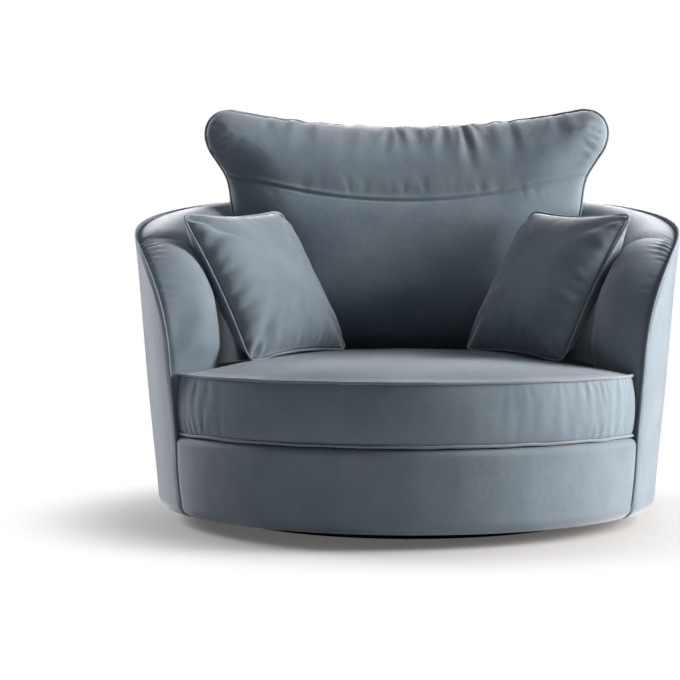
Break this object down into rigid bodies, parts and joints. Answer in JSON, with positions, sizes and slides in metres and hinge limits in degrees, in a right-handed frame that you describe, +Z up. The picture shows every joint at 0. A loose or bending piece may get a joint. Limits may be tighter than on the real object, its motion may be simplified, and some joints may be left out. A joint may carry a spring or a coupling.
{
  "type": "swivel cuddle chair",
  "caption": "Round upholstered swivel chair: a flared tub on a low plinth with a T-shaped seat cushion, a winged back cushion and loose square scatter cushions.",
  "frame": {"origin": "on the floor at the swivel axis, in the middle of the plinth's centre foot", "axes": "+Z up along the swivel axis; the open front of the tub faces -Y; +X is to the right of someone who looks at the front"},
  "size_m": [1.3584, 1.3188, 1.0444],
  "materials": {
    "velvet": "short-pile plush velvet",
    "piping": "velvet-covered cord",
    "plinth_paint": "black satin paint",
    "plywood": "plain board",
    "timber": "sawn softwood",
    "steel": "zinc plated",
    "spring_steel": "oiled wire",
    "nylon": "matt",
    "felt": "non-woven cloth",
    "rubber_foot": "matt"
  },
  "bodies": {
    "base": {"plinth_ring": "plinth_paint", "plinth_board": "plywood", "centre_foot": "rubber_foot", "glide_1": "nylon", "glide_2": "nylon", "glide_3": "nylon", "glide_4": "nylon", "glide_5": "nylon", "glide_6": "nylon", "bearing_lower_plate": "steel", "ball_cage": "steel", "lower_screw_1": "steel", "lower_screw_2": "steel", "lower_screw_3": "steel", "lower_screw_4": "steel"},
    "tub": {"bearing_upper_plate": "steel", "upper_screw_1": "steel", "upper_screw_2": "steel", "upper_screw_3": "steel", "upper_screw_4": "steel", "bottom_hoop": "plywood", "dust_cover": "felt", "base_board": "plywood", "post_1": "timber", "post_2": "timber", "post_3": "timber", "post_4": "timber", "post_5": "timber", "post_6": "timber", "deck_ring": "plywood", "front_rail": "plywood", "seat_spring_1": "spring_steel", "seat_spring_2": "spring_steel", "seat_spring_3": "spring_steel", "seat_spring_4": "spring_steel", "seat_platform": "felt", "back_rib_1": "timber", "back_rib_2": "timber", "back_rib_3": "timber", "back_rib_4": "timber", "back_rib_5": "timber", "arm_post_left": "timber", "arm_post_right": "timber", "top_rail": "timber", "inner_lining": "plywood", "outer_cover": "velvet", "padded_wall": "velvet", "wall_piping": "piping", "front_cover": "velvet"},
    "seat_cushion": {"seat_cushion": "velvet", "seat_piping_lower": "piping", "seat_piping_upper": "piping"},
    "back_cushion": {"back_cushion": "velvet", "back_piping": "piping"},
    "scatter_left": {"scatter_cushion_left": "velvet", "scatter_piping_left": "piping"},
    "scatter_right": {"scatter_cushion_right": "velvet", "scatter_piping_right": "piping"}
  },
  "joints": [
    {"name": "swivel", "type": "hinge", "parent": "base", "child": "tub", "pos_m": [0, 0, 0.05], "axis": [0, 0, 1], "continuous": true},
    {"name": "seat_cushion_lift", "type": "slide", "parent": "tub", "child": "seat_cushion", "axis": [0, 0, 1], "range_m": [0, 0.5]},
    {"name": "back_cushion_lift", "type": "slide", "parent": "seat_cushion", "child": "back_cushion", "axis": [0, 0.0896, 0.996], "range_m": [0, 0.6]},
    {"name": "scatter_left_lift", "type": "slide", "parent": "back_cushion", "child": "scatter_left", "axis": [0, -0.5, 0.866], "range_m": [0, 0.4]},
    {"name": "scatter_right_lift", "type": "slide", "parent": "back_cushion", "child": "scatter_right", "axis": [0, -0.5, 0.866], "range_m": [0, 0.4]}
  ]
}
